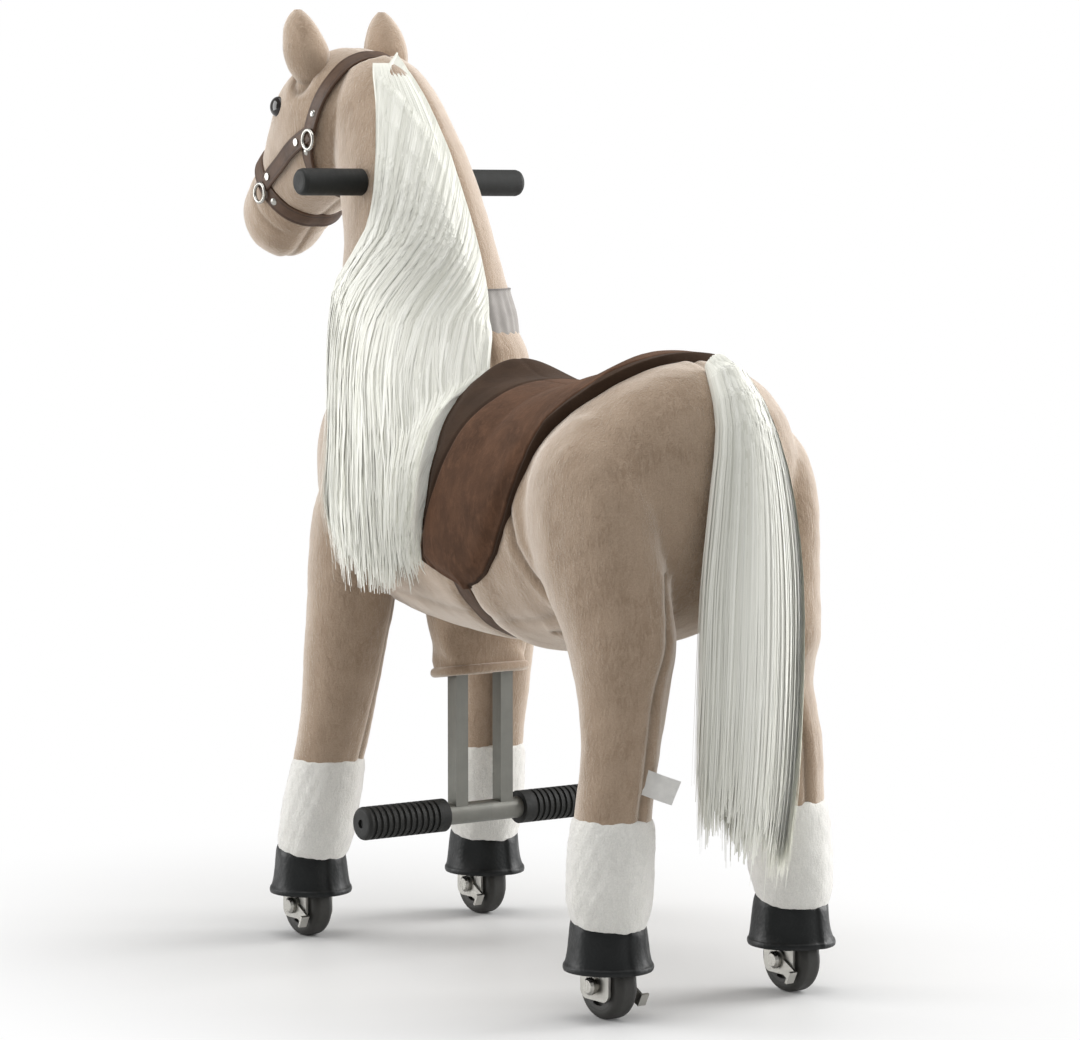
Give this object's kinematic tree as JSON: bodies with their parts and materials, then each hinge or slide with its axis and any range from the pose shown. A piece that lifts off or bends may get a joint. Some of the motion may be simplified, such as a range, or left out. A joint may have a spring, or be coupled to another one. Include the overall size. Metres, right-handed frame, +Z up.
{
  "type": "ride-on plush horse",
  "caption": "Plush ride-on horse on wheels with a steerable neck, handlebar, sliding footrest, saddle, halter, and legs that swing on a steel frame.",
  "frame": {"origin": "on the floor, under the middle of the part's box", "axes": "+X to the nose, +Y to the rider's left, +Z up"},
  "size_m": [0.8734, 0.3056, 0.968],
  "materials": {
    "plush": "short tan plush pile",
    "white_plush": "white plush pile",
    "horse_hair": "long ivory synthetic hair",
    "hoof_leather": "black satin imitation leather",
    "suede": "dark brown suede",
    "strap_leather": "brown smooth leather",
    "gaiter_fabric": "grey stretch fabric",
    "silver_paint": "silver grey powder coat",
    "frame_paint": "dark grey powder coat",
    "zinc": "zinc plated pressed steel",
    "bright_steel": "bright nickel plate",
    "hub_plastic": "black moulded nylon",
    "tread": "charcoal polyurethane",
    "grip_rubber": "black moulded rubber",
    "bush_nylon": "natural nylon",
    "plywood": "plain plywood",
    "eye_gloss": "black glossy dome"
  },
  "bodies": {
    "trunk": {"spine_frame": "frame_paint", "steering_bushes": "bush_nylon", "guide_bushes": "bush_nylon", "hip_bushes": "bush_nylon", "seat_board": "plywood", "torso": "plush", "saddle": "suede", "girth_strap": "strap_leather", "footrest_sleeve": "plush", "neck_gaiter": "gaiter_fabric", "mane_fall": "horse_hair", "tail": "horse_hair", "left_shoulder": "plush", "right_shoulder": "plush"},
    "forehand": {"steering_column": "frame_paint", "shoulder_bushes": "bush_nylon", "handlebar": "frame_paint", "handle_grips": "grip_rubber", "neck": "plush", "head": "plush", "ears": "plush", "eyes": "eye_gloss", "crown_strap": "strap_leather", "cheek_straps": "strap_leather", "noseband": "strap_leather", "throat_strap": "strap_leather", "halter_rings": "bright_steel", "halter_rivets": "bright_steel", "mane_crest": "horse_hair"},
    "front_legs": {"front_leg_frame": "silver_paint", "front_left_leg": "plush", "front_right_leg": "plush", "front_socks": "white_plush", "front_hooves": "hoof_leather", "front_forks": "zinc", "front_axles": "zinc"},
    "rear_legs": {"rear_leg_frame": "silver_paint", "rear_left_leg": "plush", "rear_right_leg": "plush", "rear_socks": "white_plush", "rear_hooves": "hoof_leather", "rear_forks": "zinc", "rear_axles": "zinc"},
    "swing_rod": {"tie_rod": "zinc"},
    "footrest_crank": {"bell_crank": "zinc"},
    "footrest": {"footrest_frame": "silver_paint", "footrest_grips": "grip_rubber"},
    "front_left_roller": {"front_left_wheel": "hub_plastic", "front_left_tyre": "tread"},
    "front_left_ratchet_lever": {"front_left_lever": "zinc"},
    "front_right_roller": {"front_right_wheel": "hub_plastic", "front_right_tyre": "tread"},
    "front_right_ratchet_lever": {"front_right_lever": "zinc"},
    "rear_left_roller": {"rear_left_wheel": "hub_plastic", "rear_left_tyre": "tread"},
    "rear_left_ratchet_lever": {"rear_left_lever": "zinc"},
    "rear_right_roller": {"rear_right_wheel": "hub_plastic", "rear_right_tyre": "tread"},
    "rear_right_ratchet_lever": {"rear_right_lever": "zinc"}
  },
  "joints": [
    {"name": "steering", "type": "hinge", "parent": "trunk", "child": "forehand", "pos_m": [0.09135, 0, 0.64], "axis": [0, 0, 1], "range_deg": [-15, 15]},
    {"name": "front_leg_swing", "type": "hinge", "parent": "forehand", "child": "front_legs", "pos_m": [0.09135, 0, 0.5], "axis": [0, 1, 0], "range_deg": [0, 7.5], "deforming": ["left_shoulder", "right_shoulder"]},
    {"name": "rear_leg_swing", "type": "hinge", "parent": "trunk", "child": "rear_legs", "pos_m": [-0.30465, 0, 0.475], "axis": [0, -1, 0], "range_deg": [0, 7.5]},
    {"name": "swing_rod_turn", "type": "hinge", "parent": "rear_legs", "child": "swing_rod", "pos_m": [-0.30465, 0, 0.415], "axis": [0, -1, 0], "range_deg": [-7.8, 0]},
    {"name": "crank_turn", "type": "hinge", "parent": "trunk", "child": "footrest_crank", "pos_m": [-0.02265, 0, 0.50183], "axis": [0, 1, 0], "range_deg": [0, 29.2]},
    {"name": "footrest_slide", "type": "slide", "parent": "trunk", "child": "footrest", "axis": [0, 0, -1], "range_m": [0, 0.02032]},
    {"name": "front_left_wheel_roll", "type": "hinge", "parent": "front_legs", "child": "front_left_roller", "pos_m": [0.17335, 0.111, 0.033], "axis": [0, 1, 0], "continuous": true},
    {"name": "front_left_lever_flip", "type": "hinge", "parent": "front_legs", "child": "front_left_ratchet_lever", "pos_m": [0.17335, 0.111, 0.033], "axis": [0, 1, 0], "range_deg": [0, 25]},
    {"name": "front_right_wheel_roll", "type": "hinge", "parent": "front_legs", "child": "front_right_roller", "pos_m": [0.17335, -0.111, 0.033], "axis": [0, 1, 0], "continuous": true},
    {"name": "front_right_lever_flip", "type": "hinge", "parent": "front_legs", "child": "front_right_ratchet_lever", "pos_m": [0.17335, -0.111, 0.033], "axis": [0, 1, 0], "range_deg": [0, 25]},
    {"name": "rear_left_wheel_roll", "type": "hinge", "parent": "rear_legs", "child": "rear_left_roller", "pos_m": [-0.35165, 0.111, 0.033], "axis": [0, 1, 0], "continuous": true},
    {"name": "rear_left_lever_flip", "type": "hinge", "parent": "rear_legs", "child": "rear_left_ratchet_lever", "pos_m": [-0.35165, 0.111, 0.033], "axis": [0, 1, 0], "range_deg": [0, 25]},
    {"name": "rear_right_wheel_roll", "type": "hinge", "parent": "rear_legs", "child": "rear_right_roller", "pos_m": [-0.35165, -0.111, 0.033], "axis": [0, 1, 0], "continuous": true},
    {"name": "rear_right_lever_flip", "type": "hinge", "parent": "rear_legs", "child": "rear_right_ratchet_lever", "pos_m": [-0.35165, -0.111, 0.033], "axis": [0, 1, 0], "range_deg": [0, 25]}
  ],
  "couplings": [
    {"joint": "rear_leg_swing", "follows": "front_leg_swing", "ratio": 1},
    {"joint": "swing_rod_turn", "follows": "front_leg_swing", "ratio": -1.0175},
    {"joint": "crank_turn", "follows": "front_leg_swing", "ratio": 3.8933},
    {"joint": "footrest_slide", "follows": "front_leg_swing", "m_per_rad": 0.15521}
  ]
}
